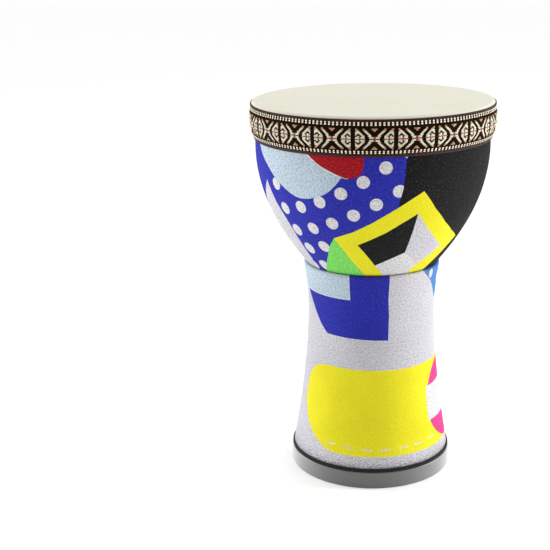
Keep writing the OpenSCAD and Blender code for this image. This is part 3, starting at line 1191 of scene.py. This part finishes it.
class DRUM_OT_stage(bpy.types.Operator):
    """Makes the pale floor, the soft light all round and the camera"""
    bl_idname = "drum.stage"
    bl_label = "Stage"

    def execute(self, context):
        stage = context.scene.drum_stage
        half = stage.floor_size / 2
        mesh = bpy.data.meshes.new("floor")
        mesh.from_pydata([(-half, -half, 0), (half, -half, 0), (half, half, 0), (-half, half, 0)], [],
                         [(0, 1, 2, 3)])
        floor = add_object("floor", mesh, pale_floor("studio_floor", context.scene.drum_finishes.floor))

        world = bpy.data.worlds.new("studio_tent")
        world.use_nodes = True
        nodes, links = world.node_tree.nodes, world.node_tree.links
        nodes.clear()
        direction = nodes.new("ShaderNodeTexCoord")
        direction.label = "Direction of the light"
        split = nodes.new("ShaderNodeSeparateXYZ")
        split.label = "Front or back"
        links.new(direction.outputs["Generated"], split.inputs["Vector"])
        tent = nodes.new("ShaderNodeMapRange")
        tent.label = "Dim in front, bright behind"
        tent.interpolation_type = "SMOOTHSTEP"
        tent.inputs["From Min"].default_value = -0.95
        tent.inputs["From Max"].default_value = 0.15
        tent.inputs["To Min"].default_value = stage.front_light
        tent.inputs["To Max"].default_value = stage.back_light
        links.new(split.outputs["Y"], tent.inputs["Value"])
        tent_light = nodes.new("ShaderNodeBackground")
        tent_light.label = "White tent"
        tent_light.inputs["Color"].default_value = (1, 1, 1, 1)
        links.new(tent.outputs["Result"], tent_light.inputs["Strength"])
        out = nodes.new("ShaderNodeOutputWorld")
        out.label = "Studio"
        links.new(tent_light.outputs["Background"], out.inputs["Surface"])
        set_out(nodes, links)
        context.scene.world = world

        aim = Vector((0, 0, 0.17))
        for name, place, size, power in (
            ("left_softbox", Vector((-1.3, 0.35, 0.5)), (0.5, 0.9), stage.left_light),
            ("right_softbox", Vector((1.3, 0.15, 0.5)), (0.5, 0.9), stage.right_light),
            ("top_softbox", Vector((0, 0.3, 1.9)), (1.6, 1.6), stage.top_light),
        ):
            lamp = bpy.data.lights.new(name, "AREA")
            lamp.shape = "RECTANGLE"
            lamp.size, lamp.size_y = size
            lamp.energy = power
            light = bpy.data.objects.new(name, lamp)
            light.location = place
            light.rotation_euler = (aim - place).to_track_quat("-Z", "Y").to_euler()
            context.scene.collection.objects.link(light)

        lens = bpy.data.cameras.new("camera")
        lens.lens = stage.lens
        lens.sensor_width = 36
        lens.clip_end = 100
        camera = bpy.data.objects.new("camera", lens)
        turn = (Matrix.Rotation(stage.camera_yaw, 4, "Z")
                @ Matrix.Rotation(math.pi / 2 - stage.camera_tilt, 4, "X")
                @ Matrix.Rotation(stage.camera_roll, 4, "Z"))
        camera.matrix_world = Matrix.Translation(Vector(stage.camera_place)) @ turn
        context.scene.collection.objects.link(camera)
        context.scene.camera = camera
        context.scene.view_settings.view_transform = "Standard"
        return {"FINISHED"}


class DRUM_OT_shells(bpy.types.Operator):
    """Makes the two moulded shells that the cloth covers"""
    bl_idname = "drum.shells"
    bl_label = "Shells"

    def execute(self, context):
        s = sizes()
        finish = context.scene.drum_finishes
        plastic = moulded("moulded_plastic", finish.shell, grain=0.7 * MM, roughness=0.45, specular=0.5,
                          sheen=0.0)
        rim_r = s.bowl_r - s.cloth_t
        bearing_z = head_z() - s.skin_t
        wall = s.cloth_t + s.shell_t
        spigot_z = SHELL_BOX[0].z
        bowl = rounded(
            [(rim_r, bearing_z, 1)]
            + side(bowl_radius, bowl_z(), s.neck_z, s.cloth_t)
            + side(stem_radius, s.neck_z, spigot_z, wall, n=6)[1:-1]
            + [(inset(stem_radius, spigot_z, wall), spigot_z, 1),
               (inset(stem_radius, spigot_z, wall) - s.shell_t, spigot_z, 1),
               (inset(stem_radius, s.neck_z - NECK_BLEND, wall) - s.shell_t, s.neck_z - NECK_BLEND)]
            + side(bowl_radius, s.neck_z + NECK_BLEND, bowl_z(), wall)
            + [(rim_r - s.shell_t, bearing_z - BEARING_SLOPE, 1), (rim_r - BEARING_W, bearing_z, 1)],
            BOWL_ROUND)
        settle(turned("bowl_shell_moulding", bowl, plastic), "moulded_shell", "bowl_shell")

        foot_h, land = FOOT_BOX[1].z, FOOT_BOX[1].x - FOOT_WALL
        below_edge = s.neck_z - 1 * MM
        stem = rounded(
            [(inset(stem_radius, s.neck_z, s.cloth_t), s.neck_z, 1)]
            + side(stem_radius, below_edge, foot_h, s.cloth_t)
            + [(land, foot_h), (land, FOOT_FLOOR, 1), (land - s.shell_t, FOOT_FLOOR, 1)]
            + side(stem_radius, foot_h, below_edge, wall)
            + [(inset(stem_radius, s.neck_z, wall), s.neck_z, 1)],
            EDGE_ROUND)
        settle(turned("stem_shell_moulding", stem, plastic), "moulded_shell", "stem_shell")
        return {"FINISHED"}


class DRUM_OT_head(bpy.types.Operator):
    """Makes the drum skin, pulled over its wooden hoop"""
    bl_idname = "drum.head"
    bl_label = "Head"

    def execute(self, context):
        s = sizes()
        finish = context.scene.drum_finishes
        hoop = frame["nodes"]["head_hoop"]
        hoop.data.materials.clear()
        hoop.data.materials.append(bent_ply("bent_ply", finish.ply))
        middle_r, under_z = s.head_r * 0.5, head_z() - s.skin_t
        collar = spaced(shoulder_z(), SKIN_BOX[0].z, 12)
        outline = (
            [(0, head_z()), (middle_r, head_z())]
            + shoulder_arc(s.shoulder_r, 90, 0)
            + [(collar_radius(z), z) for z in collar[1:]]
            + [(collar_radius(z) - s.skin_t, z) for z in reversed(collar)]
            + shoulder_arc(s.shoulder_r - s.skin_t, 0, 90)[1:]
            + [(middle_r, under_z), (0, under_z)]
        )
        skin = turned("skin", outline, drum_skin_finish("cream_skin", finish.skin), closed=False)
        settle(skin, "skin", "drum_skin")
        return {"FINISHED"}


class DRUM_OT_ribbon(bpy.types.Operator):
    """Makes the woven ribbon round the rim: its ground weave and its pattern yarns"""
    bl_idname = "drum.ribbon"
    bl_label = "Ribbon"

    def execute(self, context):
        s = sizes()
        lap_angle = 3.2
        weave = woven_yarn("ribbon_ground_weave", roughness=0.85, specular=0.03, fibre_pitch=0.8 * MM,
                           fibre_strength=0.8)
        ground = add_object("ribbon_ground", ribbon_ground(lap_angle), weave)
        thicken(ground, "Ribbon thickness", s.ribbon_base_t)
        settle(ground, "ribbon", "rim_ribbon")
        silky = woven_yarn("ribbon_yarn", roughness=0.5, specular=0.6, fibre_pitch=0.35 * MM,
                           fibre_strength=0.5)
        yarns = add_object("ribbon_yarns", yarn_floats(), silky)
        settle(yarns, "ribbon")
        return {"FINISHED"}


class DRUM_OT_bowl_cover(bpy.types.Operator):
    """Makes the printed cloth that covers the bowl"""
    bl_idname = "drum.bowl_cover"
    bl_label = "Bowl cover"

    def execute(self, context):
        s = sizes()
        bottom, top = BOWL_BOX[0].z, BOWL_BOX[1].z
        lap_angle = 5

        def place(angle, z):
            return around(bowl_radius(z) + cloth_rise(angle, z), z, angle)

        mesh = cloth_mesh("bowl_cover", bowl_print(), "blue", -SEAM_ANGLE, SEAM_ANGLE + lap_angle,
                          bottom, top, place, mean_r=85 * MM, step=2.5 * MM)
        # The cloth's colour darkens over its lowest 3 mm, at the neck joint
        canvas = printed_canvas("bowl_canvas", s.weave_pitch, dark_edge_z=bottom, dark_edge_h=3 * MM)
        cover = add_object("bowl_cloth", mesh, canvas)
        thicken(cover, "Cloth thickness", s.cloth_t)
        settle(cover, "bowl_cloth", "bowl_cover")
        slant, area = cloth_measure(bowl_radius, bottom, top)
        return {"FINISHED"}


class DRUM_OT_stem_cover(bpy.types.Operator):
    """Makes the printed cloth that covers the stem, turned in over the socket's edge"""
    bl_idname = "drum.stem_cover"
    bl_label = "Stem cover"

    def execute(self, context):
        s = sizes()
        hem_r, hem_tuck = 1.4 * MM, 0.6 * MM
        turn_z = s.neck_z + s.cloth_t - hem_r
        bottom, top = STEM_BOX[0].z, turn_z + hem_r * math.pi / 2 + hem_tuck
        lap_angle = 7

        def place(angle, level):
            out = cloth_rise(angle, level)
            turn = (level - turn_z) / hem_r
            if turn <= 0:
                return around(stem_radius(level) + out, level, angle)
            bend = min(turn, math.pi / 2)
            r = stem_radius(turn_z) - hem_r - (turn - bend) * hem_r + (hem_r + out) * math.cos(bend)
            return around(r, turn_z + (hem_r + out) * math.sin(bend), angle)

        mesh = cloth_mesh("stem_cover", stem_print(), "lilac", -SEAM_ANGLE, SEAM_ANGLE + lap_angle,
                          bottom, top, place, mean_r=62 * MM, step=2.2 * MM)
        # The cloth's colour darkens over its lowest 16 mm, above the foot ring
        canvas = printed_canvas("stem_canvas", s.weave_pitch, dark_edge_z=bottom, dark_edge_h=16 * MM)
        cover = add_object("stem_cloth", mesh, canvas)
        thicken(cover, "Cloth thickness", s.cloth_t)
        settle(cover, "stem_cloth", "stem_cover")
        _, area = cloth_measure(stem_radius, bottom, turn_z)
        length = 2 * math.pi * stem_radius(bottom) * (1 + lap_angle / 360)
        return {"FINISHED"}


class DRUM_OT_foot_ring(bpy.types.Operator):
    """Makes the rubber foot ring: a band with a darker lip, and grooves that grip the floor"""
    bl_idname = "drum.foot_ring"
    bl_label = "Foot ring"

    def execute(self, context):
        s = sizes()
        finish = context.scene.drum_finishes
        out_r, foot_h = FOOT_BOX[1].x, FOOT_BOX[1].z
        lip_r, deep_r = out_r - LIP_STEP, out_r - LIP_STEP * 2  # the lip's side, and its edge in the band
        split_z = FOOT_BAND - 1.5 * MM  # the lip begins inside the band
        land = out_r - FOOT_WALL
        inner = land - s.shell_t
        pitch, depth, slope, width = 1.9 * MM, 0.5 * MM, 0.25 * MM, 0.9 * MM
        grooves = []
        for r in (out_r - pitch, out_r - pitch * 2, out_r - pitch * 3):
            grooves += [(r, 0, 1), (r - slope, depth, 1), (r - width + slope, depth, 1), (r - width, 0, 1)]
        outline = rounded(
            [(land, split_z), (deep_r, split_z), (deep_r, FOOT_BAND), (lip_r, FOOT_BAND, 1),
             (out_r, FOOT_BAND - LIP_STEP, 1), (out_r, 0, 1)] + grooves
            + [(inner - FOOT_WALL, 0, 1), (inner - FOOT_WALL, FOOT_INNER_H, 1), (inner, FOOT_INNER_H, 1),
               (inner, FOOT_FLOOR), (land, FOOT_FLOOR)],
            EDGE_ROUND)
        satin = moulded("satin_rubber", finish.rubber, grain=0.5 * MM, roughness=0.30, specular=0.8,
                        sheen=1.0)
        settle(turned("foot_rubber_ring", outline, satin), "foot_rubber", "foot_ring")
        lip = rounded([(land, foot_h), (lip_r, foot_h, 1), (lip_r, FOOT_BAND), (deep_r, FOOT_BAND),
                       (deep_r, split_z), (land, split_z)], EDGE_ROUND)
        matt = moulded("matt_rubber", finish.lip, grain=0.4 * MM, roughness=0.8, specular=0.25, sheen=0.0)
        settle(turned("foot_rubber_lip", lip, matt), "foot_rubber")
        return {"FINISHED"}


class DRUM_PT_panel(bpy.types.Panel):
    """Lists the drum's pieces and its sizes and colours"""
    bl_idname = "DRUM_PT_panel"
    bl_label = "Goblet Drum"
    bl_space_type = "VIEW_3D"
    bl_region_type = "UI"
    bl_category = "Drum"

    def draw(self, context):
        for operator in OPERATORS:
            self.layout.operator(operator.bl_idname)
        for title, group in (("Sizes", context.scene.drum_sizes), ("Print", context.scene.drum_inks),
                             ("Finishes", context.scene.drum_finishes), ("Stage", context.scene.drum_stage)):
            box = self.layout.box()
            box.label(text=title)
            for key in group.bl_rna.properties.keys():
                if key not in ("rna_type", "name"):
                    box.prop(group, key)


OPERATORS = (
    DRUM_OT_stage, DRUM_OT_shells, DRUM_OT_head, DRUM_OT_ribbon, DRUM_OT_bowl_cover, DRUM_OT_stem_cover,
    DRUM_OT_foot_ring,
)
GROUPS = {"drum_sizes": DrumSizes, "drum_inks": DrumInks, "drum_finishes": DrumFinishes,
          "drum_stage": DrumStage}


def register():
    for cls in (*GROUPS.values(), *OPERATORS, DRUM_PT_panel):
        bpy.utils.register_class(cls)
    for name, group in GROUPS.items():
        setattr(bpy.types.Scene, name, bpy.props.PointerProperty(type=group))


def unregister():
    for name in GROUPS:
        delattr(bpy.types.Scene, name)
    for cls in (DRUM_PT_panel, *reversed(OPERATORS), *GROUPS.values()):
        bpy.utils.unregister_class(cls)


def main():
    register()
    bpy.ops.drum.stage()
    bpy.ops.drum.shells()
    bpy.ops.drum.head()
    bpy.ops.drum.ribbon()
    bpy.ops.drum.bowl_cover()
    bpy.ops.drum.stem_cover()
    bpy.ops.drum.foot_ring()


if __name__ == "__main__":
    main()
